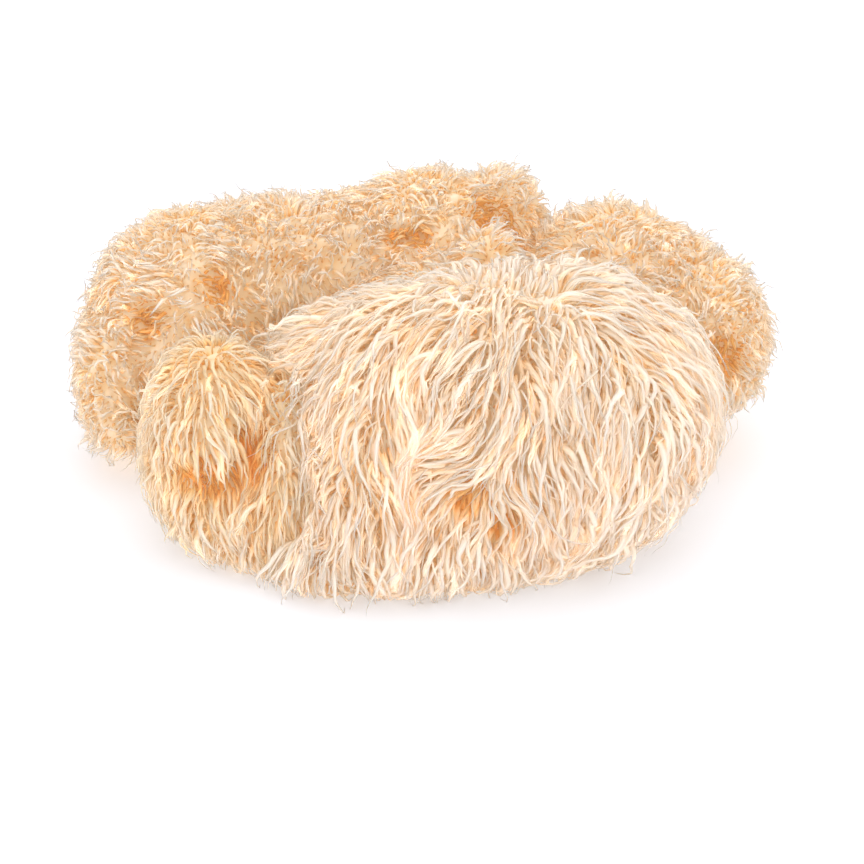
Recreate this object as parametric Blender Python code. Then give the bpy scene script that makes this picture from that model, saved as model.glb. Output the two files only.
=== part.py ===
"""Lion's mane mushroom: one fused cluster of toothed heads, cut flat underneath.

Metres, +Z up. The cluster rests on its cut at z = 0, with the long-toothed head towards -Y.
Sizes below are in millimetres and are turned into metres where the shapes are made.
"""

import random

import bmesh
import bpy
from mathutils import Matrix, Vector
from mathutils.bvhtree import BVHTree

MM = 0.001

# Each head, as the egg that its teeth reach: centre, half sizes and the kind of teeth it carries.
HEADS = {
    "front": ((36, -32, 38), (50, 50, 41), "mane"),
    "front_middle": ((13, -38, 32), (40, 46, 48), "mane"),
    "front_low": ((36, -39, 24), (33, 40, 30), "mane"),
    "front_left": ((-10, -40, 30), (24, 42, 44), "mane"),
    "front_fringe": ((-5, -48, 14), (29, 37, 22), "mane"),
    "cut_edge": ((-26, -57, 8), (18, 24, 14), "mane"),
    "front_shoulder": ((-19, -20, 43), (24, 32, 20), "mane"),
    "left_front": ((-59, -34, 29), (22, 30, 31), "tuft"),
    "left_inner": ((-38, -40, 19), (17, 30, 32), "tuft"),
    "left_lower": ((-47, -47, 12), (20, 22, 15), "tuft"),
    "left_column": ((-90, 14, 26), (15, 28, 25), "fuzz"),
    "back_left": ((-72, 28, 37), (30, 34, 35), "fuzz"),
    "back_left_ridge": ((-58, 36, 50), (26, 30, 20), "fuzz"),
    "back_left_top": ((-43, 46, 46), (27, 30, 23), "fuzz"),
    "back_saddle": ((-24, 50, 47), (19, 28, 22), "fuzz"),
    "back_middle": ((2, 52, 50), (31, 30, 26), "fuzz"),
    "back_bump": ((24, 70, 52), (16, 20, 18), "fuzz"),
    "button": ((20, 18, 63), (11, 11, 9), "fuzz"),
    "back_right": ((57, 45, 45), (27, 29, 22), "fuzz"),
    "right_shoulder": ((72, 35, 42), (23, 31, 21), "fuzz"),
    "right": ((83, 24, 34), (23, 33, 25), "fuzz"),
    "centre": ((11, 17, 38), (34, 26, 24), "fuzz"),
    "heel": ((-3, 13, 16), (84, 60, 30), "fuzz"),
}

# Each kind of tooth: how thick the layer of teeth is, how long a tooth is, and how much it
# follows the slope rather than standing out, all on the head that carries it.
TEETH = {
    "mane": {"layer": 8.0, "length": 25.0, "lie": 0.90, "bent": True},
    "tuft": {"layer": 6.5, "length": 15.0, "lie": 0.75, "bent": False},
    "fuzz": {"layer": 5.0, "length": 8.0, "lie": 0.50, "bent": False},
}

CELL = 7.6  # spacing of the teeth over the flesh
CELL_SHIFT = 0.16  # how far a tooth's root strays from the even spacing, as a share of it
SMOOTHING = 4  # passes that round the creases between the heads
CUT_HEIGHT = 0.0  # the flat cut that the cluster rests on
LOWEST_ROOT = 3.0  # no tooth grows from the flesh below this height
LOWEST_TIP = 0.6  # a tooth's tip stays this far above the cut
STEEPEST_UNDERSIDE = -0.72  # flesh that faces down more than this carries no teeth
LENGTH_SPREAD = 0.28  # how much the teeth differ in length
WANDER = 0.10  # how far a tooth strays from its neighbours' direction
MANE_CROWN = (33, -38)  # where the long teeth part, seen from above
CROWN_PULL = 0.5  # how much teeth near the top lie away from the crown, beside down the slope
WAIST_SHARE = 0.60  # width of a bent tooth at its bend, as a share of its root
BEND_ALONG = 0.30  # how far down its length a bent tooth bends
BEND_LIFT = 0.85  # how far out it bends, as a share of the layer of teeth
TIP_LIFT = 0.35  # how far out the tip is held, as a share of the layer of teeth
LOWEST_BEND = 3.0  # a bend stays this far above the lowest tips
CREASE_REACH = 9.0  # how far out a tooth looks for flesh that would crowd it
DRAWN_IN = 0.96  # size of a face in the search for crossing teeth
PARTING_PASSES = 24  # most passes that shorten teeth which cross
PARTING_STEP = 0.86  # what a crossing tooth keeps of its reach in each pass
SEED = 20


def clear_scene():
    for thing in list(bpy.data.objects):
        bpy.data.objects.remove(thing)


def flesh_material():
    material = bpy.data.materials.new("lions_mane_flesh")
    material.use_nodes = True
    surface = material.node_tree.nodes["Principled BSDF"]
    surface.inputs["Base Color"].default_value = (0.89, 0.74, 0.55, 1.0)
    surface.inputs["Roughness"].default_value = 0.85
    surface.inputs["Metallic"].default_value = 0.0
    return material


def add_head(shape, centre, half_sizes, layer):
    """The flesh of one head: its egg, less the layer that the teeth take up."""
    size = [(half - layer) * MM for half in half_sizes]
    place = Matrix.Translation(Vector(centre) * MM) @ Matrix.Diagonal((*size, 1.0))
    bmesh.ops.create_icosphere(shape, subdivisions=4, radius=1.0, matrix=place)


def fused_flesh():
    """All heads grown together into one skin of even four-sided cells."""
    shape = bmesh.new()
    for centre, half_sizes, kind in HEADS.values():
        add_head(shape, centre, half_sizes, TEETH[kind]["layer"])
    mesh = bpy.data.meshes.new("heads")
    shape.to_mesh(mesh)
    shape.free()
    heads = bpy.data.objects.new("heads", mesh)
    bpy.context.scene.collection.objects.link(heads)
    fuse = heads.modifiers.new("fuse", "REMESH")
    fuse.mode = "VOXEL"
    fuse.voxel_size = CELL * MM
    soften = heads.modifiers.new("soften", "SMOOTH")
    soften.factor = 0.5
    soften.iterations = SMOOTHING
    bpy.context.view_layer.update()
    graph = bpy.context.evaluated_depsgraph_get()
    fused = bmesh.new()
    fused.from_object(heads, graph)
    bpy.data.objects.remove(heads)
    return fused


def cut_flat(shape):
    """Cuts the flesh off at the base and closes it with one flat face."""
    everything = shape.verts[:] + shape.edges[:] + shape.faces[:]
    cut = bmesh.ops.bisect_plane(
        shape,
        geom=everything,
        dist=0.2 * MM,
        plane_co=(0, 0, CUT_HEIGHT * MM),
        plane_no=(0, 0, 1),
        clear_inner=True,
    )
    for part in cut["geom_cut"]:
        if isinstance(part, bmesh.types.BMVert):
            part.co.z = CUT_HEIGHT * MM
    rim = [part for part in cut["geom_cut"] if isinstance(part, bmesh.types.BMEdge)]
    bmesh.ops.holes_fill(shape, edges=rim, sides=0)
    bmesh.ops.recalc_face_normals(shape, faces=shape.faces[:])


def carries_tooth(face):
    low = face.calc_center_median().z < LOWEST_ROOT * MM
    return not low and face.normal.z > STEEPEST_UNDERSIDE


def scatter_cells(shape, draw):
    """Moves the corners of the cells a little along the skin, so that no row of teeth shows."""
    shape.normal_update()
    reach = CELL * CELL_SHIFT * MM
    for corner in shape.verts:
        if corner.co.z < LOWEST_ROOT * MM:
            continue
        stray = Vector((draw.uniform(-1, 1), draw.uniform(-1, 1), draw.uniform(-1, 1))) * reach
        corner.co += stray - stray.dot(corner.normal) * corner.normal


def nearest_head(point):
    """The name of the head whose egg reaches furthest past this point of the flesh."""

    def depth(name):
        centre, half_sizes, kind = HEADS[name]
        layer = TEETH[kind]["layer"]
        offsets = [(point[i] / MM - centre[i]) / (half_sizes[i] - layer) for i in range(3)]
        return sum(offset * offset for offset in offsets)

    return min(HEADS, key=depth)


def slope_at(point, normal, head):
    """The way that teeth lie here: down the slope, and away from the crown of their head."""
    down = Vector((0, 0, -1))
    down -= down.dot(normal) * normal
    centre, _, kind = HEADS[head]
    crown = MANE_CROWN if kind == "mane" else centre
    outward = Vector((point.x - crown[0] * MM, point.y - crown[1] * MM, 0.0))
    if outward.length > 0:
        outward.normalize()
    outward -= outward.dot(normal) * normal
    flow = down + CROWN_PULL * max(normal.z, 0.0) * outward
    return flow.normalized() if flow.length > 1e-6 else Vector((0, -1, 0))


def room_above(tree, point, normal):
    """How much of its full length a tooth has here before it meets flesh across a crease."""
    start = point + normal * 0.5 * MM
    hit = tree.ray_cast(start, normal, CREASE_REACH * MM)
    free = CREASE_REACH * MM if hit[0] is None else hit[3]
    return min(1.0, free / (CREASE_REACH * MM))


class Tooth:
    """One tooth: a cell of flesh drawn out to a tip, through a bend where it is a long one."""

    def __init__(self, face, tree, draw):
        self.face = face
        self.root = face.calc_center_median()
        self.normal = face.normal.copy()
        head = nearest_head(self.root)
        self.kind = TEETH[HEADS[head][2]]
        length = self.kind["length"] * (1 + LENGTH_SPREAD * draw.uniform(-1, 1)) * MM
        self.length = length * room_above(tree, self.root, self.normal)
        stray = Vector((draw.gauss(0, 1), draw.gauss(0, 1), draw.gauss(0, 1))) * WANDER
        self.flow = slope_at(self.root, self.normal, head)
        lie = self.kind["lie"]
        self.way = (self.flow * lie + self.normal * (1 - lie) * 1.4 + stray).normalized()
        self.reach = 1.0
        self.ring = []

    def grow(self, shape):
        """Makes the bend's ring of corners, on a long tooth, and the tip."""
        if self.kind["bent"]:
            raised = bmesh.ops.extrude_discrete_faces(shape, faces=[self.face])["faces"][0]
            middle = raised.calc_center_median()
            self.ring = [(corner, (corner.co - middle) * WAIST_SHARE) for corner in raised.verts]
            self.face = raised
        self.tip = bmesh.ops.poke(shape, faces=[self.face])["verts"][0]
        self.place()

    def place(self):
        """Sets the tip and the bend for the tooth's reach; a short tooth stands straight out."""
        length = self.length * self.reach
        out = min(self.kind["layer"] * MM, length)
        way = self.way.lerp(self.normal, 1.0 - self.reach)
        tip = self.root + way * length + self.normal * out * TIP_LIFT
        tip.z = max(tip.z, LOWEST_TIP * MM)
        self.tip.co = tip
        bend = self.root + self.flow * length * BEND_ALONG + self.normal * out * BEND_LIFT
        bend.z = max(bend.z, (LOWEST_TIP + LOWEST_BEND) * MM)
        for corner, offset in self.ring:
            corner.co = bend + offset

    def corners(self):
        return [self.tip] + [corner for corner, _ in self.ring]


def grow_teeth(shape, tree, draw):
    cells = [face for face in shape.faces if carries_tooth(face)]
    teeth = [Tooth(face, tree, draw) for face in cells]
    for tooth in teeth:
        tooth.grow(shape)
    bmesh.ops.triangulate(shape, faces=shape.faces[:])
    return teeth


def crossing_faces(shape):
    """Pairs of faces that cross, found on faces drawn in slightly so that neighbours don't touch."""
    points = []
    for face in shape.faces:
        middle = face.calc_center_median()
        points += [middle.lerp(corner.co, DRAWN_IN) for corner in face.verts]
    triangles = [(3 * i, 3 * i + 1, 3 * i + 2) for i in range(len(shape.faces))]
    tree = BVHTree.FromPolygons(points, triangles)
    return [(a, b) for a, b in tree.overlap(tree) if a < b]


def part_crossing_teeth(shape, teeth):
    """Shortens teeth that run through each other, pass by pass, until they stand clear."""
    shape.faces.ensure_lookup_table()
    owner = {corner: tooth for tooth in teeth for corner in tooth.corners()}
    for _ in range(PARTING_PASSES):
        crowded = []
        for pair in crossing_faces(shape):
            corners = [corner for index in pair for corner in shape.faces[index].verts]
            crowded += [owner[corner] for corner in corners if corner in owner]
        crowded = dict.fromkeys(crowded)
        if not crowded:
            break
        for tooth in crowded:
            tooth.reach *= PARTING_STEP
            tooth.place()
    print("teeth", len(teeth), "still crowded", len(crowded))


def centre_on_origin(shape):
    """Puts the middle of the outline over the origin, seen from above."""
    lows = [min(corner.co[axis] for corner in shape.verts) for axis in range(2)]
    highs = [max(corner.co[axis] for corner in shape.verts) for axis in range(2)]
    shift = Vector([-(low + high) / 2 for low, high in zip(lows, highs)] + [0.0])
    bmesh.ops.translate(shape, verts=shape.verts[:], vec=shift)
    return shift


def fruiting_body():
    """The whole mushroom: fused flesh, the flat cut, and the teeth that grow from the flesh."""
    draw = random.Random(SEED)
    shape = fused_flesh()
    cut_flat(shape)
    scatter_cells(shape, draw)
    shape.normal_update()
    teeth = grow_teeth(shape, BVHTree.FromBMesh(shape), draw)
    part_crossing_teeth(shape, teeth)
    shift = centre_on_origin(shape)
    print("moved by", [round(value / MM, 2) for value in shift], "triangles", len(shape.faces))
    mesh = bpy.data.meshes.new("fruiting_body")
    shape.to_mesh(mesh)
    shape.free()
    mesh.materials.append(flesh_material())
    body = bpy.data.objects.new("fruiting_body", mesh)
    bpy.context.scene.collection.objects.link(body)
    return body


def main():
    clear_scene()
    fruiting_body()


main()
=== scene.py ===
"""Lion's mane mushroom, dressed: soft flesh under some twenty thousand teeth, on a pale floor."""

import math

import bmesh
import bpy
import numpy as np
from mathutils import Matrix, Vector
from mathutils.kdtree import KDTree


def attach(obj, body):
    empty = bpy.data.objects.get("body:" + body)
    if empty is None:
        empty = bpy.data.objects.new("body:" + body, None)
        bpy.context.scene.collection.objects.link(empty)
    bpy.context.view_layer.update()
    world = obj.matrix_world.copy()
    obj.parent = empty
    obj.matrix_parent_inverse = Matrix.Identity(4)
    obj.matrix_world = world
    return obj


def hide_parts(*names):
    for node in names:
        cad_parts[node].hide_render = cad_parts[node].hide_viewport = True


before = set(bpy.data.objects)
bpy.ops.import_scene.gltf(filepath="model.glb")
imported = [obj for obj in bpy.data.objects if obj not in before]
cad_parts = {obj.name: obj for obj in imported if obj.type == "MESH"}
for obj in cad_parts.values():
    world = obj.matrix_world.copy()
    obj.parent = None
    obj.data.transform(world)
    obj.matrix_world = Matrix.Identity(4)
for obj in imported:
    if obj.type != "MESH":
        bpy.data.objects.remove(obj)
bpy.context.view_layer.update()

MM = 0.001
TURN = 2 * math.pi
TINY = 1e-9  # the least that a length is divided by
SEED = 7

# Each head, in millimetres, as the egg that its teeth reach: centre, half sizes, kind of teeth.
HEADS = {
    "front": ((36, -32, 38), (50, 50, 41), "mane"),
    "front_middle": ((13, -38, 32), (40, 46, 48), "mane"),
    "front_low": ((36, -39, 24), (33, 40, 30), "mane"),
    "front_left": ((-10, -40, 30), (24, 42, 44), "mane"),
    "front_fringe": ((-5, -48, 14), (29, 37, 22), "mane"),
    "cut_edge": ((-26, -57, 8), (18, 24, 14), "mane"),
    "front_shoulder": ((-19, -20, 43), (24, 32, 20), "mane"),
    "left_front": ((-59, -34, 29), (22, 30, 31), "tuft"),
    "left_inner": ((-38, -40, 19), (17, 30, 32), "tuft"),
    "left_lower": ((-47, -47, 12), (20, 22, 15), "tuft"),
    "left_column": ((-90, 14, 26), (15, 28, 25), "fuzz"),
    "back_left": ((-72, 28, 37), (30, 34, 35), "fuzz"),
    "back_left_ridge": ((-58, 36, 50), (26, 30, 20), "fuzz"),
    "back_left_top": ((-43, 46, 46), (27, 30, 23), "fuzz"),
    "back_saddle": ((-24, 50, 47), (19, 28, 22), "fuzz"),
    "back_middle": ((2, 52, 50), (31, 30, 26), "fuzz"),
    "back_bump": ((24, 70, 52), (16, 20, 18), "fuzz"),
    "button": ((20, 18, 63), (11, 11, 9), "fuzz"),
    "back_right": ((57, 45, 45), (27, 29, 22), "fuzz"),
    "right_shoulder": ((72, 35, 42), (23, 31, 21), "fuzz"),
    "right": ((83, 24, 34), (23, 33, 25), "fuzz"),
    "centre": ((11, 17, 38), (34, 26, 24), "fuzz"),
    "heel": ((-3, 13, 16), (84, 60, 30), "fuzz"),
}

# Each kind of teeth, in millimetres: the layer they take up on the flesh, the spacing of their
# roots, their length and its spread, the half width of the thinnest and the thickest, their
# segments, how much they lie down, how much they follow the slope rather than swirl, how far they
# wander, the size and the length of their waves, and their locks, each a size and how it closes.
TEETH = {
    "mane": {
        "layer": 5.5, "spacing": 1.24, "length": 23.0, "spread": 0.45, "thin": 0.30, "thick": 1.00,
        "segments": 12, "lie": 1.0, "comb": 0.80, "wander": 0.60, "curl": 0.80, "wave": 12.0,
        "locks": ((9.0, 0.35), (3.6, 0.66)),
    },
    "tuft": {
        "layer": 4.5, "spacing": 1.28, "length": 15.0, "spread": 0.40, "thin": 0.30, "thick": 0.85,
        "segments": 9, "lie": 0.90, "comb": 0.85, "wander": 0.50, "curl": 0.75, "wave": 9.0,
        "locks": ((6.5, 0.45), (2.8, 0.62)),
    },
    "fuzz": {
        "layer": 3.4, "spacing": 1.20, "length": 8.5, "spread": 0.45, "thin": 0.30, "thick": 0.76,
        "segments": 5, "lie": 0.62, "comb": 0.42, "wander": 0.80, "curl": 0.85, "wave": 7.0,
        "locks": ((5.5, 0.35), (2.4, 0.55)),
    },
}

# The meshes that each kind of teeth is dealt out over, one tooth after another.
PIECES = {
    "mane": ("front_teeth_first", "front_teeth_second", "front_teeth_third"),
    "tuft": ("left_teeth_first", "left_teeth_second", "left_teeth_third"),
    "fuzz": ("back_teeth_first", "back_teeth_second", "back_teeth_third"),
}

KINDS = list(TEETH)
LONG_KIND = KINDS.index("mane")
CENTRES = np.array([centre for centre, _, _ in HEADS.values()], float)
FLESH_HALVES = np.array([
    [half - TEETH[kind]["layer"] for half in halves] for _, halves, kind in HEADS.values()
])
HEAD_KINDS = np.array([KINDS.index(kind) for _, _, kind in HEADS.values()])

# The flesh, in millimetres
BLEND = 2.4  # how softly heads run into each other
HEAD_FINENESS = 5  # how often the faces of a head are divided
FLESH_CELL = 1.5
SETTLING_ROUNDS = 3
BUMPS = ((9.0, 1.1, 61), (3.6, 0.5, 62))  # bumps between the teeth: how long, how high, their seed
BUMP_WAVES = 12
CUT_HEIGHT = 0.0
CUT_SNAP = 0.02  # corners this near the cut are taken to lie on it

# Pits in the flesh: where they open on the outside, how wide and how deep, in millimetres.
PITS = (
    ((13, -84, 36), 4.0, 6.0),
    ((23, -82, 26), 4.0, 6.0),
    ((-64, -60, 32), 3.5, 5.0),
    ((-58, -64, 31), 4.0, 6.0),
    ((-52, -65, 33), 3.5, 5.0),
    ((-47, -58, 42), 4.0, 8.0),
    ((-46, -59, 34), 3.5, 6.0),
    ((-1, 29, 66), 3.5, 4.0),
    ((-9, 30, 66), 3.0, 4.0),
    ((26, 45, 65), 8.0, 9.0),
    ((90, -5, 42), 5.0, 7.0),
    ((-80, 1, 50), 4.5, 4.0),
    ((-60, 7, 58), 4.5, 4.0),
)

# Where teeth grow
TRIES = 2.6  # how many places are tried for each tooth that would fit
LOWEST_ROOT = 2.0
LOWEST_FACING = -0.80  # flesh that faces further down than this bears no teeth
STRAYS = 0.13  # share of the teeth that leave their locks and lie on top

# How each tooth is drawn: how high it rides, as shares of its layer, how thick it is, and what
# a pit takes off its length and its height.
LOWEST_RIDE = 0.12
RIDE_RANGE = 0.80
RIDE_BIAS = 0.8
STRAY_RISE = 0.2
THICKNESS_BIAS = 1.7  # above 1, so that most teeth are thin
PIT_SHORTENING = 0.55
PIT_SINKING = 0.60

# The crown, where the long teeth part, in millimetres
CROWN_LINE = ((17.0, -28.0), (35.0, -39.0))  # seen from above
CROWN_REACH = 9.0  # how far round it teeth stand up
CROWN_PULL = 0.6  # how strongly teeth on top run away from it
CROWN_SHORTENING = 0.50
CROWN_RISE = 4.0

# Tufts that lie their own way: where, how far round, and the way, with its strength as its length.
TUFTS = (
    ((5, -80, 45), 7.0, (-2.6, 0.0, 0.9)),
    ((13, -83, 40), 5.0, (-1.6, 0.0, 0.2)),
    ((24, -83, 33), 6.0, (1.6, 0.0, 0.3)),
    ((16, -84, 25), 5.0, (-1.3, 0.0, 0.0)),
    ((-52, -69, 24), 6.0, (-0.6, 0.0, -1.5)),
)

# Soft random ways over the mushroom: the millimetres that they turn round over, and their seed.
SOFT_WAVES = 7  # how many waves each is mixed from
SOFT_RATES = (0.6, 1.4)
WIDE_SWIRL = (26.0, 31)
SMALL_SWIRL = (12.0, 32)
SMALL_SWIRL_SHARE = 0.6
WIDE_WANDER = (24.0, 11)
SMALL_WANDER = (12.0, 12)
SOFT_WANDER_SHARE = 0.4
OWN_WANDER_SHARE = 0.50
OWN_OFFSET = 3.0  # how far off each tooth reads the small wander, so that neighbours differ
WARM_PATCHES = (40.0, 51)
FLESH_PATCHES = (5.0, 71)

# How a tooth grows from segment to segment
ROOT_DEPTH = 1.6  # how deep in the flesh it starts
ROOT_LEAN = 0.35
ROOT_CHANCE = 0.15
FIRST_SEGMENT = 0.5  # its length beside that of the others
TURNING = 0.5  # how much of its way it changes at each segment
HEIGHT_REACH = 2.5  # how far from its own height it turns fully back towards it
HEIGHT_PULL = 0.9
HEIGHT_PULL_LOST = 0.4  # how much of that pull is gone at the tip
TIP_RISE = 0.22
TIP_DROOP = 0.28
FLOOR_GAP = 0.35  # the lowest that its middle runs
FLOOR_TOUCH = 0.05  # how near that it counts as lying on the floor
SPLAY = 1.5  # how many of its segments run on along the floor
SHORTEST = 0.25  # the least share of its length that the floor leaves it
CLEARANCE = 0.5  # how far out of the flesh it is kept

# How teeth wave and gather, as ranges that each tooth draws from and as powers along its length
ASKEW = (0.31, 0.83, 0.46)  # a direction that hardly any tooth runs along
WAVE_RATES = (0.7, 1.5)
WAVE_SIZES = (0.3, 1.4)
WAVE_GROWTH = 0.7
OUTWARD_RATE = 0.8
OUTWARD_SIZE = 0.6
LAST_CURL = 0.25  # how much of their curl teeth keep for themselves in their locks
LOCK_PULLS = (0.5, 1.35)
LOCK_GROWTH = 1.25
TIGHTEST = 0.93
LOCK_NARROWING = 0.5

# The shape of one tooth
SIDES = 3
FLATNESS = 1.25  # how much wider than round it is across the flesh
ROOT_WIDTH = 0.75  # its width at the root, as a share of the full one
ROOT_SHARE = 0.2  # the share of its length over which it grows to full width
TAPER = 0.45
TIP_ROUNDNESS = 4  # the higher, the further out it stays thick
NUDGE = (0.011, 0.007, 0.003)  # keeps the way out from lying exactly along a tooth

# Colours as a screen shows them, at their places from deep in the layer (0) to its outside (1). The
# deep colours are painted shade between the teeth.
PALE_STOPS = (
    (0.0, (235, 180, 104)), (0.25, (241, 209, 162)), (0.55, (244, 225, 201)), (1.0, (245, 234, 222)),
)
WARM_STOPS = (
    (0.0, (233, 168, 82)), (0.25, (241, 199, 130)), (0.55, (244, 217, 170)), (1.0, (246, 228, 196)),
)
# Painted light: a faint warm glow that the flesh and the teeth give off, to lighten the shade
# between the teeth
PAINTED_GLOW_COLOUR = (255, 222, 178)
FLESH_PAINTED_GLOW = 0.18
TOOTH_PAINTED_GLOW = 0.06

# How warm the teeth are, 0 for the pale colours and 1 for the warm ones
WARMTH = {"mane": 0.12, "tuft": 0.58, "fuzz": 0.22}
PALER_HEADS = {"button": 0.35, "right_shoulder": 0.12, "left_lower": 0.30}
PATCH_WARMTH = 0.10
CHANCE_WARMTH = 0.10
FLESH_PATCH_WARMTH = 0.12
LEAST_WARMTH = 0.02

# How far from the deep colours towards the outer ones: the less, the more painted shade
HEIGHT_PALENESS = 0.85
TIP_PALENESS = 0.15
PALEST_HEIGHT = 0.9  # where the outside colour is reached, as a share of the layer
FLESH_PALENESS = 0.45
# Painted shade on the flesh: paler on its bumps, darker in the hollows between them
BUMP_PALENESS = 0.22
# Painted shade in the pits, which are real hollows in the flesh
PIT_PAINTED_SHADE = 0.34
# Less painted shade on the crown
CROWN_PALENESS = 0.5
CROWN_FLESH_PALENESS = 0.4

# The map that colours are read from
TOOTH_MAP_STEP = 0.002  # how far apart the corners round a tooth lie on it
TOOTH_MAP_EDGE = 0.001
FLESH_MAP_EDGE = 0.01

# Camera, in millimetres and degrees
CAMERA_TARGET = (3.0, -26.0, 27.0)
CAMERA_DISTANCE = 830.0
CAMERA_ELEVATION = 27.0
CAMERA_LENS = 120.0
SENSOR = 36.0

# Studio, in metres and watts. Each lamp: where it hangs, what it faces, how wide and how strong.
FLOOR_HALF = 30.0  # from the middle of the floor to its edge
FLOOR_GLOW = 0.37  # the floor's own light, which keeps it white and its shadow faint
SKY_STRENGTH = 0.82
LAMPS = {
    "top": ((0.1, 0.1, 1.0), (0, 0, 0.03), 1.2, 3.0),
    "fill": ((-0.3, -1.0, 0.6), (0, 0, 0.04), 1.0, 1.5),
}


def unit(vectors):
    """The same directions, each one long."""
    return vectors / np.maximum(np.linalg.norm(vectors, axis=-1, keepdims=True), TINY)


def nearness(gaps, reach):
    """1 where the gap is nothing, falling softly to 0 beyond the reach."""
    return np.exp(-((gaps / reach) ** 2))


def shares_along(path):
    """How far along its tooth each station is, 0 at the root and 1 at the tip."""
    return np.linspace(0.0, 1.0, path.shape[1])


def across(vectors, out):
    """What is left of the vectors along the skin."""
    return vectors - (vectors * out).sum(axis=1, keepdims=True) * out


def waves(points, length, seed, count=SOFT_WAVES):
    """Smooth random vectors over space, about one long, that turn round over the given length."""
    draw = np.random.default_rng(seed)
    result = np.zeros_like(points)
    for _ in range(count):
        way = unit(draw.normal(size=3)) * (TURN / length) * draw.uniform(*SOFT_RATES)
        phase = draw.uniform(0, TURN, 3)
        result += np.sin((points @ way)[:, None] + phase) * unit(draw.normal(size=3))
    return result / math.sqrt(count / 2)


def whole_field(points):
    """Height above the smooth flesh in millimetres, the way out of it, and the nearest head."""
    scaled = (points[:, None, :] - CENTRES) / FLESH_HALVES
    ratio = np.linalg.norm(scaled, axis=2)
    slope = scaled / FLESH_HALVES
    steep = np.maximum(np.linalg.norm(slope, axis=2), TINY)
    heights = ratio * (ratio - 1.0) / steep
    low = heights.min(axis=1, keepdims=True)
    weights = np.exp(-(heights - low) / BLEND)
    height = low[:, 0] - BLEND * np.log(weights.sum(axis=1))
    out = (weights[:, :, None] * slope / steep[:, :, None]).sum(axis=1)
    return height, unit(out), ratio.argmin(axis=1)


def pit_places():
    """The middle of each pit, on the flesh under its opening."""
    openings = np.array([place for place, _, _ in PITS], float)
    height, out, _ = whole_field(openings)
    return openings - height[:, None] * out


PIT_PLACES = pit_places()
PIT_WIDTHS = np.array([width for _, width, _ in PITS])
PIT_DEPTHS = np.array([depth for _, _, depth in PITS])


def pit_shares(points):
    """How much each point is in each pit, 1 in its middle and 0 well outside."""
    gaps = np.linalg.norm(points[:, None, :] - PIT_PLACES, axis=2)
    return nearness(gaps, PIT_WIDTHS)


def flesh_field(points):
    """The same as the whole field, with the pits sunk in it."""
    height, out, heads = whole_field(points)
    return height + pit_shares(points) @ PIT_DEPTHS, out, heads


def from_crown(points):
    """The way from the nearest place on the crown line to each point, seen from above."""
    start, end = np.array(CROWN_LINE)
    run = end - start
    share = ((points[:, :2] - start) @ run / (run @ run)).clip(0, 1)
    return points[:, :2] - (start + share[:, None] * run)


def crown_shares(points):
    """How much each point is in the crown, 1 on its line and 0 well away."""
    return nearness(np.linalg.norm(from_crown(points), axis=1), CROWN_REACH)


def away_from_crowns(points, out, heads):
    """The way along the skin from the middle of each point's head, or from the crown line."""
    outward = np.zeros_like(points)
    outward[:, :2] = points[:, :2] - CENTRES[heads][:, :2]
    mane = HEAD_KINDS[heads] == LONG_KIND
    outward[mane, :2] = from_crown(points)[mane]
    return across(unit(outward), out)


def slope_flow(points, out, heads, comb):
    """The way teeth lie at each point: down the slope, away from the crown of their head, swirling
    where they are less combed, and turned by the tufts."""
    down = np.array([0.0, 0.0, -1.0]) + out * out[:, 2:3]
    flow = down + CROWN_PULL * np.maximum(out[:, 2:3], 0) * away_from_crowns(points, out, heads)
    swirl = across(waves(points, *WIDE_SWIRL) + SMALL_SWIRL_SHARE * waves(points, *SMALL_SWIRL), out)
    flow = unit(flow) * comb + swirl * (1 - comb)
    for place, reach, way in TUFTS:
        near = nearness(np.linalg.norm(points - np.array(place, float), axis=1), reach)
        flow += near[:, None] * across(np.broadcast_to(np.array(way, float), points.shape), out)
    return unit(flow)


def points_of(shape):
    """The corners of a bmesh, in millimetres."""
    return np.array([corner.co for corner in shape.verts]) / MM


def move_corners(shape, points):
    """Puts the corners of a bmesh at new points, given in millimetres."""
    for corner, point in zip(shape.verts, points):
        corner.co = point * MM


def link(name, data):
    """A new object in the scene, at the origin."""
    thing = bpy.data.objects.new(name, data)
    bpy.context.scene.collection.objects.link(thing)
    return thing


def flesh_shape():
    """The heads' flesh grown together, as a bmesh of fine cells."""
    heads = bmesh.new()
    for centre, halves in zip(CENTRES, FLESH_HALVES):
        place = Matrix.Translation(Vector(centre) * MM) @ Matrix.Diagonal((*(halves * MM), 1.0))
        bmesh.ops.create_icosphere(heads, subdivisions=HEAD_FINENESS, radius=1.0, matrix=place)
    mesh = bpy.data.meshes.new("flesh_heads")
    heads.to_mesh(mesh)
    heads.free()
    rough = link("flesh_heads", mesh)
    fuse = rough.modifiers.new("fuse", "REMESH")
    fuse.mode = "VOXEL"
    fuse.voxel_size = FLESH_CELL * MM
    bpy.context.view_layer.update()
    shape = bmesh.new()
    shape.from_object(rough, bpy.context.evaluated_depsgraph_get())
    bpy.data.objects.remove(rough)
    return shape


def settle_on_field(shape):
    """Moves every corner onto the smooth skin that the heads make together."""
    for _ in range(SETTLING_ROUNDS):
        points = points_of(shape)
        height, out, _ = flesh_field(points)
        move_corners(shape, points - height[:, None] * out)


def bumps(points):
    """How far the flesh stands out of its smooth skin at each point."""
    heights = np.zeros(len(points))
    for length, height, seed in BUMPS:
        heights += waves(points, length, seed, BUMP_WAVES)[:, 0] * height
    return heights


def roughen(shape):
    """Raises the bumps of the flesh between the teeth."""
    points = points_of(shape)
    _, out, _ = flesh_field(points)
    move_corners(shape, points + bumps(points)[:, None] * out)


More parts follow.
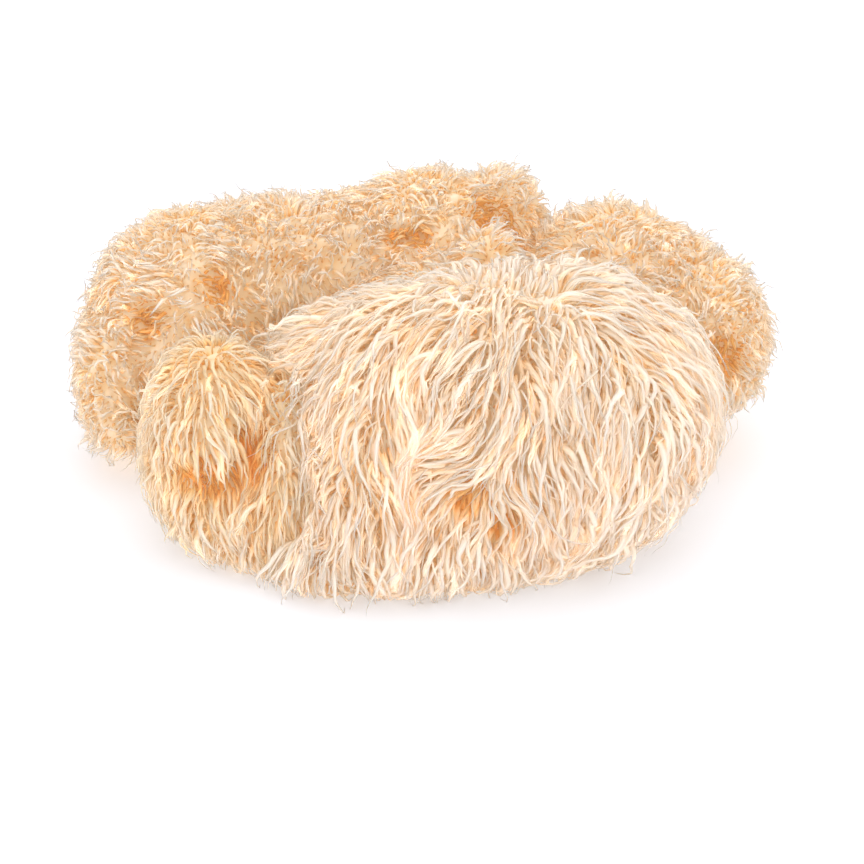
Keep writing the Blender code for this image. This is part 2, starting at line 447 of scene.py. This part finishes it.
def cut_flat(shape):
    """Cuts the flesh off underneath and closes the cut."""
    everything = shape.verts[:] + shape.edges[:] + shape.faces[:]
    cut = bmesh.ops.bisect_plane(
        shape, geom=everything, dist=CUT_SNAP * MM, plane_co=(0, 0, CUT_HEIGHT * MM),
        plane_no=(0, 0, 1), clear_inner=True,
    )
    rim = [part for part in cut["geom_cut"] if isinstance(part, bmesh.types.BMEdge)]
    bmesh.ops.holes_fill(shape, edges=rim, sides=0)
    bmesh.ops.recalc_face_normals(shape, faces=shape.faces[:])


def triangles_of(shape):
    """The skin's triangles as points in millimetres, leaving out the cut."""
    found = []
    for loops in shape.calc_loop_triangles():
        corners = [loop.vert.co for loop in loops]
        if max(corner.z for corner in corners) > LOWEST_ROOT * MM:
            found.append([tuple(corner) for corner in corners])
    return np.array(found) / MM


def scatter(triangles, draw, closest):
    """Points at random over the triangles, more than can stand the closest distance apart."""
    first, second, third = triangles.transpose(1, 0, 2)
    areas = np.linalg.norm(np.cross(second - first, third - first), axis=1) / 2
    count = int(areas.sum() / closest**2 * TRIES)
    chosen = draw.choice(len(triangles), count, p=areas / areas.sum())
    first, second, third = first[chosen], second[chosen], third[chosen]
    a, b = draw.random((2, count, 1))
    flip = a + b > 1
    a, b = np.where(flip, 1 - a, a), np.where(flip, 1 - b, b)
    return first + a * (second - first) + b * (third - first)


def thin_out(points, spacing):
    """Keeps points, in their order, that stand at least their spacing from every kept one."""
    cells = np.floor(points / float(spacing.max())).astype(int).tolist()
    around = [(x, y, z) for x in (-1, 0, 1) for y in (-1, 0, 1) for z in (-1, 0, 1)]
    reaches = (spacing**2).tolist()
    grid = {}
    kept = []
    for index, (px, py, pz) in enumerate(points.tolist()):
        cx, cy, cz = cells[index]
        crowded = any(
            (px - qx) ** 2 + (py - qy) ** 2 + (pz - qz) ** 2 < reaches[index]
            for x, y, z in around
            for qx, qy, qz in grid.get((cx + x, cy + y, cz + z), ())
        )
        if not crowded:
            grid.setdefault((cx, cy, cz), []).append((px, py, pz))
            kept.append(index)
    return np.array(kept)


def tooth_roots(shape, draw):
    """Where teeth grow, and of what kind."""
    points = scatter(triangles_of(shape), draw, min(teeth["spacing"] for teeth in TEETH.values()))
    height, out, heads = flesh_field(points)
    points -= height[:, None] * out
    kinds = HEAD_KINDS[heads]
    spacing = np.array([TEETH[kind]["spacing"] for kind in KINDS])[kinds]
    kept = thin_out(points, spacing)
    kept = kept[(out[kept, 2] > LOWEST_FACING) & (points[kept, 2] > LOWEST_ROOT)]
    return points[kept], kinds[kept]


def wander_of(place, own):
    """How teeth stray from the flow: many together, a few together, and each by itself."""
    wide = waves(place, *WIDE_WANDER) * SOFT_WANDER_SHARE
    small = waves(place + own * OWN_OFFSET, *SMALL_WANDER) * SOFT_WANDER_SHARE
    return wide + small + own * OWN_WANDER_SHARE


def wanted_way(place, teeth, reach, own, share):
    """The way each tooth wants to grow on: with the flow, towards its own height in the layer, and
    astray. Its tip rises off the flesh and droops."""
    height, out, heads = flesh_field(place)
    flow = slope_flow(place, out, heads, teeth["comb"])
    lift = np.clip((reach - height) / HEIGHT_REACH, -1.0, 1.0)[:, None]
    pull = HEIGHT_PULL - HEIGHT_PULL_LOST * share
    wanted = flow * teeth["lie"] + out * lift * pull + wander_of(place, own) * teeth["wander"]
    wanted += out * TIP_RISE * share
    wanted[:, 2] -= TIP_DROOP * share
    return unit(wanted)


def grow_paths(roots, teeth, length, reach, seed):
    """The line of every tooth, from its root to its tip."""
    steps = teeth["segments"]
    stride = (length / steps)[:, None]
    own = np.random.default_rng(seed).normal(size=roots.shape)
    _, out, heads = flesh_field(roots)
    flow = slope_flow(roots, out, heads, teeth["comb"])
    way = unit(out + flow * ROOT_LEAN * teeth["lie"] + own * ROOT_CHANCE)
    place = roots + way * stride * FIRST_SEGMENT
    path = [roots - out * ROOT_DEPTH, place]
    for step in range(1, steps):
        wanted = wanted_way(place, teeth, reach, own, step / steps)
        way = unit(way * (1 - TURNING) + wanted * TURNING)
        place = place + way * stride
        place[:, 2] = np.maximum(place[:, 2], FLOOR_GAP)
        path.append(place)
    return np.stack(path, axis=1)


def kept_off_floor(path, length):
    """The length that brings each tooth's tip to the floor, and a little way along it."""
    touching = path[:, :, 2] <= FLOOR_GAP + FLOOR_TOUCH
    first = np.where(touching.any(axis=1), touching.argmax(axis=1), path.shape[1])
    return length * np.clip((first + SPLAY) / (path.shape[1] - 1), SHORTEST, 1.0)


def along_of(path):
    """The direction of every tooth at each of its stations."""
    along = np.empty_like(path)
    along[:, 1:-1] = path[:, 2:] - path[:, :-2]
    along[:, 0] = path[:, 1] - path[:, 0]
    along[:, -1] = path[:, -1] - path[:, -2]
    return unit(along)


def wave_teeth(path, length, teeth, size, draw):
    """Waves every tooth from side to side and in and out, more towards its tip."""
    along = along_of(path)
    side = unit(np.cross(along, np.array(ASKEW)))
    up = np.cross(along, side)
    share = shares_along(path)[None]
    rounds = length / teeth["wave"] * draw.uniform(*WAVE_RATES, len(length))
    turns = share * rounds[:, None] * TURN
    phase = draw.uniform(0, TURN, (2, len(length), 1))
    amount = size * draw.uniform(*WAVE_SIZES, (len(length), 1)) * share**WAVE_GROWTH
    sideways = (np.sin(turns + phase[0]) * amount)[:, :, None] * side
    outwards = (np.sin(turns * OUTWARD_RATE + phase[1]) * amount * OUTWARD_SIZE)[:, :, None] * up
    return path + sideways + outwards


def nearest_guides(roots, spacing):
    """For every root, the index of the tooth that leads its lock."""
    guides = thin_out(roots, np.full(len(roots), spacing))
    tree = KDTree(len(guides))
    for guide in guides:
        tree.insert(roots[guide], int(guide))
    tree.balance()
    return np.array([tree.find(root)[1] for root in roots])


def gather_locks(path, roots, teeth, stray, draw):
    """Draws the teeth together into large locks and then small ones, closing towards their tips."""
    share = shares_along(path)[None, :, None]
    for size, closing in teeth["locks"]:
        nearest = nearest_guides(roots, size)
        pull = closing * draw.uniform(*LOCK_PULLS, (len(roots), 1, 1)) * share**LOCK_GROWTH
        pull = np.where(stray[:, None, None], 0.0, pull.clip(0, TIGHTEST))
        offset = (roots - roots[nearest])[:, None, :] * (1 - LOCK_NARROWING * share)
        path = path * (1 - pull) + (path[nearest] + offset) * pull
    return path


def clear_of_flesh(path):
    """Lifts any point that lies in the flesh, beyond the root, back onto it."""
    beyond = path[:, 1:]
    flat = beyond.reshape(-1, 3)
    height, out, _ = flesh_field(flat)
    flat = flat + out * np.maximum(CLEARANCE - height, 0)[:, None]
    flat[:, 2] = np.maximum(flat[:, 2], FLOOR_GAP)
    path[:, 1:] = flat.reshape(beyond.shape)
    return path


def tooth_sizes(kind, roots, draw):
    """The length of every tooth, how high it rides in the layer, its half width, and the strays."""
    teeth = TEETH[kind]
    count = len(roots)
    stray = draw.random(count) < STRAYS
    length = teeth["length"] * (1 + teeth["spread"] * draw.uniform(-1, 1, count))
    ride = LOWEST_RIDE + RIDE_RANGE * draw.random(count) ** RIDE_BIAS + STRAY_RISE * stray
    reach = teeth["layer"] * ride
    radius = teeth["thin"] + (teeth["thick"] - teeth["thin"]) * draw.random(count) ** THICKNESS_BIAS
    in_pit = pit_shares(roots).max(axis=1)
    length *= 1 - PIT_SHORTENING * in_pit
    reach *= 1 - PIT_SINKING * in_pit
    if kind == "mane":
        crown = crown_shares(roots)
        length *= 1 - CROWN_SHORTENING * crown
        reach += CROWN_RISE * crown * draw.random(count)
    return length, reach, radius, stray


def tooth_paths(kind, roots, seed, draw):
    """The finished line of every tooth of a kind, and its half width."""
    teeth = TEETH[kind]
    length, reach, radius, stray = tooth_sizes(kind, roots, draw)
    path = grow_paths(roots, teeth, length, reach, seed)
    length = kept_off_floor(path, length)
    path = grow_paths(roots, teeth, length, reach, seed)
    path = wave_teeth(path, length, teeth, teeth["curl"], draw)
    path = gather_locks(path, roots, teeth, stray, draw)
    path = wave_teeth(path, length, teeth, teeth["curl"] * LAST_CURL, draw)
    return clear_of_flesh(path), radius


def tooth_shade_depths(kind, roots, path):
    """How pale each tooth is at each of its stations, from 0 deep in the layer to 1 outside: painted
    shade, darker deeper down, nearer the root and in pits, lighter on the crown.
    """
    points = path.reshape(-1, 3)
    height = whole_field(points)[0].reshape(path.shape[:2])
    palest = TEETH[kind]["layer"] * PALEST_HEIGHT
    depth = HEIGHT_PALENESS * height / palest + TIP_PALENESS * shares_along(path)
    depth -= PIT_PAINTED_SHADE * pit_shares(points).max(axis=1).reshape(path.shape[:2])
    if kind == "mane":
        depth += CROWN_PALENESS * crown_shares(roots)[:, None]
    return depth.clip(0, 1)


def tooth_tints(kind, roots, heads, draw):
    """How warm each tooth's colour is, 0 to 1: by kind, by head, in soft patches, and by chance."""
    paler = np.array([PALER_HEADS.get(name, 0.0) for name in HEADS])
    patches = waves(roots, *WARM_PATCHES)[:, 0] * PATCH_WARMTH
    chance = CHANCE_WARMTH * draw.normal(size=len(roots))
    warmth = WARMTH[kind] - paler[heads] + patches + chance
    return warmth.clip(LEAST_WARMTH, 1 - LEAST_WARMTH)


def thickness(share):
    """How thick a tooth is along its length, as a share of its full width."""
    swelling = ROOT_WIDTH + (1 - ROOT_WIDTH) * min(share / ROOT_SHARE, 1.0)
    return swelling * (1 - TAPER * share) * (1 - share**TIP_ROUNDNESS)


def rings_round(path, radius, out):
    """The corners round every tooth at each station but its tip, flattened along the flesh."""
    count, stations, _ = path.shape
    along = along_of(path)
    side = unit(np.cross(along[:, 1], out + np.array(NUDGE)))
    rings = np.empty((count, stations - 1, SIDES, 3))
    turns = np.arange(SIDES) * TURN / SIDES
    for station in range(stations - 1):
        tangent = along[:, station]
        side = unit(across(side, tangent))
        up = np.cross(tangent, side)
        thick = (radius * thickness(station / (stations - 1)))[:, None]
        for index, turn in enumerate(turns):
            spoke = side * math.cos(turn) * FLATNESS + up * math.sin(turn) / FLATNESS
            rings[:, station, index] = path[:, station] + spoke * thick
    return rings


def tooth_pattern(stations):
    """The faces of one tooth: its walls from ring to ring, its tip, and the cap at its root."""
    pattern = []
    for low in range(0, (stations - 2) * SIDES, SIDES):
        for side in range(SIDES):
            after = (side + 1) % SIDES
            pattern.append((low + side, low + after, low + SIDES + after, low + SIDES + side))
    last = (stations - 2) * SIDES
    tip = last + SIDES
    pattern += [(last + side, last + (side + 1) % SIDES, tip) for side in range(SIDES)]
    pattern.append(tuple(reversed(range(SIDES))))
    return pattern


def mesh_of_copies(name, points, pattern):
    """A mesh in which each row of points, in millimetres, bears the same pattern of faces."""
    count, per_copy, _ = points.shape
    starts = np.arange(count)[:, None] * per_copy
    corners = (starts + np.concatenate(pattern)).ravel()
    sizes = np.tile([len(face) for face in pattern], count)
    mesh = bpy.data.meshes.new(name)
    mesh.vertices.add(count * per_copy)
    mesh.vertices.foreach_set("co", (points.reshape(-1, 3) * MM).astype(np.float32).ravel())
    mesh.loops.add(len(corners))
    mesh.loops.foreach_set("vertex_index", corners.astype(np.int32))
    mesh.polygons.add(len(sizes))
    mesh.polygons.foreach_set("loop_start", (np.cumsum(sizes) - sizes).astype(np.int32))
    mesh.update(calc_edges=True)
    return mesh


def lay_map(mesh, tint, depth, edge):
    """The map that the material reads, with each corner's tint across and its depth up, which sets
    how much painted shade it gets.
    """
    places = np.stack([tint, depth], axis=-1).reshape(-1, 2).clip(edge, 1 - edge)
    corners = np.empty(len(mesh.loops), np.int32)
    mesh.loops.foreach_get("vertex_index", corners)
    layer = mesh.uv_layers.new(name="OFBake")
    layer.uv.foreach_set("vector", places[corners].astype(np.float32).ravel())


def tooth_mesh(name, path, radius, out, tint, depth):
    """One mesh of many teeth, each a small upright strip on the map at its own tint."""
    count, stations, _ = path.shape
    rings = rings_round(path, radius, out)
    points = np.concatenate([rings.reshape(count, -1, 3), path[:, -1:]], axis=1)
    mesh = mesh_of_copies(name, points, tooth_pattern(stations))
    station_of = np.append(np.repeat(np.arange(stations - 1), SIDES), stations - 1)
    side_of = np.append(np.tile(np.arange(SIDES), stations - 1), 1.0)
    apart = (side_of - 1.0) * TOOTH_MAP_STEP
    lay_map(mesh, tint[:, None] + apart, depth[:, station_of] + apart, TOOTH_MAP_EDGE)
    mesh.shade_smooth()
    mesh.validate()
    return mesh


def srgb(red, green, blue):
    """A colour given as a screen shows it, 0 to 255, made linear."""
    return tuple(
        (value / 255 / 12.92) if value <= 10 else ((value / 255 + 0.055) / 1.055) ** 2.4
        for value in (red, green, blue)
    )


def ramp(tree, stops):
    """A node that blends from one colour to the next."""
    node = tree.nodes.new("ShaderNodeValToRGB")
    elements = node.color_ramp.elements
    while len(elements) < len(stops):
        elements.new(0.5)
    for element, (position, colour) in zip(elements, stops):
        element.position = position
        element.color = (*srgb(*colour), 1.0)
    return node


def mushroom_colour(tree):
    """Cream that turns apricot and orange deeper in the layer of teeth, as painted shade between the
    teeth. The map's tint makes some teeth warmer."""
    places = tree.nodes.new("ShaderNodeUVMap")
    places.uv_map = "OFBake"
    split = tree.nodes.new("ShaderNodeSeparateXYZ")
    tree.links.new(places.outputs["UV"], split.inputs[0])
    pale = ramp(tree, PALE_STOPS)
    warm = ramp(tree, WARM_STOPS)
    for part in (pale, warm):
        tree.links.new(split.outputs["Y"], part.inputs["Fac"])
    mix = tree.nodes.new("ShaderNodeMix")
    mix.data_type = "RGBA"
    tree.links.new(split.outputs["X"], mix.inputs["Factor"])
    tree.links.new(pale.outputs["Color"], mix.inputs[6])
    tree.links.new(warm.outputs["Color"], mix.inputs[7])
    return mix.outputs[2]


def mushroom_material(name, painted_glow):
    """Soft moist flesh that light goes into. The glow is painted light: a faint self-lit glow that
    fills the shade between the teeth.
    """
    material = bpy.data.materials.new(name)
    material.use_nodes = True
    tree = material.node_tree
    surface = tree.nodes["Principled BSDF"]
    tree.links.new(mushroom_colour(tree), surface.inputs["Base Color"])
    surface.inputs["Roughness"].default_value = 0.6
    surface.inputs["Specular IOR Level"].default_value = 0.25
    surface.subsurface_method = "BURLEY"
    surface.inputs["Subsurface Weight"].default_value = 0.65
    surface.inputs["Subsurface Radius"].default_value = (1.0, 0.80, 0.62)
    surface.inputs["Subsurface Scale"].default_value = 0.0050
    surface.inputs["Emission Color"].default_value = (*srgb(*PAINTED_GLOW_COLOUR), 1.0)
    surface.inputs["Emission Strength"].default_value = painted_glow
    return material


def make_flesh(shape, material):
    """The flesh under the teeth, with painted shade: paler on its bumps and on the crown, and darker
    in the hollows between bumps and in its pits.
    """
    mesh = bpy.data.meshes.new("flesh")
    shape.to_mesh(mesh)
    points = points_of(shape)
    _, _, heads = whole_field(points)
    kinds = HEAD_KINDS[heads]
    warmth = np.array([WARMTH[kind] for kind in KINDS])[kinds]
    tint = warmth + waves(points, *FLESH_PATCHES)[:, 0] * FLESH_PATCH_WARMTH
    depth = FLESH_PALENESS + bumps(points) * BUMP_PALENESS
    depth -= pit_shares(points).max(axis=1) * PIT_PAINTED_SHADE
    depth += np.where(kinds == LONG_KIND, CROWN_FLESH_PALENESS * crown_shares(points), 0.0)
    lay_map(mesh, tint, depth, FLESH_MAP_EDGE)
    mesh.shade_smooth()
    mesh.materials.append(material)
    return link("flesh", mesh)


def make_teeth(shape, material):
    """Every kind of teeth, each dealt out over its meshes."""
    draw = np.random.default_rng(SEED)
    roots, kinds = tooth_roots(shape, draw)
    pieces = []
    for index, kind in enumerate(KINDS):
        mine = roots[kinds == index]
        path, radius = tooth_paths(kind, mine, SEED + index, draw)
        depth = tooth_shade_depths(kind, mine, path)
        _, out, heads = flesh_field(mine)
        tint = tooth_tints(kind, mine, heads, draw)
        turn = np.arange(len(mine)) % len(PIECES[kind])
        for place, name in enumerate(PIECES[kind]):
            part = turn == place
            mesh = tooth_mesh(name, path[part], radius[part], out[part], tint[part], depth[part])
            mesh.materials.append(material)
            pieces.append(link(name, mesh))
            print(name, "teeth", int(part.sum()))
    return pieces


def make_floor():
    """The plain pale surface that the mushroom lies on."""
    shape = bmesh.new()
    bmesh.ops.create_grid(shape, x_segments=2, y_segments=2, size=FLOOR_HALF)
    mesh = bpy.data.meshes.new("floor")
    shape.to_mesh(mesh)
    shape.free()
    material = bpy.data.materials.new("floor")
    material.use_nodes = True
    surface = material.node_tree.nodes["Principled BSDF"]
    surface.inputs["Base Color"].default_value = (0.76, 0.76, 0.81, 1)
    surface.inputs["Emission Color"].default_value = (1, 1, 1, 1)
    surface.inputs["Emission Strength"].default_value = FLOOR_GLOW
    surface.inputs["Roughness"].default_value = 0.9
    surface.inputs["Specular IOR Level"].default_value = 0.1
    mesh.materials.append(material)
    floor = link("floor", mesh)


def add_lamp(name, place, aim, size, power):
    """A round soft lamp that faces a point."""
    light = bpy.data.lights.new(name, "AREA")
    light.shape = "DISK"
    light.size = size
    light.energy = power
    lamp = link(name, light)
    lamp.location = place
    lamp.rotation_euler = (Vector(aim) - Vector(place)).to_track_quat("-Z", "Y").to_euler()


def make_studio():
    """Even white light from all round, and two lamps that shape it."""
    world = bpy.data.worlds.new("studio")
    bpy.context.scene.world = world
    world.use_nodes = True
    sky = world.node_tree.nodes["Background"]
    sky.inputs["Color"].default_value = (1.0, 1.0, 1.0, 1)
    sky.inputs["Strength"].default_value = SKY_STRENGTH
    for name, (place, aim, size, power) in LAMPS.items():
        add_lamp(name, place, aim, size, power)
    bpy.context.scene.view_settings.view_transform = "Standard"


def make_camera():
    """The camera that sees the mushroom as in the photo, from the front and a little above."""
    camera = bpy.data.cameras.new("camera")
    camera.lens = CAMERA_LENS
    camera.sensor_width = SENSOR
    camera.clip_start = 0.01
    eye = link("camera", camera)
    rise = math.radians(CAMERA_ELEVATION)
    back = Vector((0, -math.cos(rise), math.sin(rise))) * CAMERA_DISTANCE * MM
    eye.location = Vector(CAMERA_TARGET) * MM + back
    eye.rotation_euler = (math.radians(90) - rise, 0, 0)
    bpy.context.scene.camera = eye


def main():
    make_camera()
    make_studio()
    make_floor()
    shape = flesh_shape()
    settle_on_field(shape)
    roughen(shape)
    cut_flat(shape)
    pieces = [make_flesh(shape, mushroom_material("flesh", FLESH_PAINTED_GLOW))]
    pieces += make_teeth(shape, mushroom_material("teeth", TOOTH_PAINTED_GLOW))
    shape.free()
    for piece in pieces:
        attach(piece, "root")
        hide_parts("fruiting_body")
    bpy.context.view_layer.update()


main()
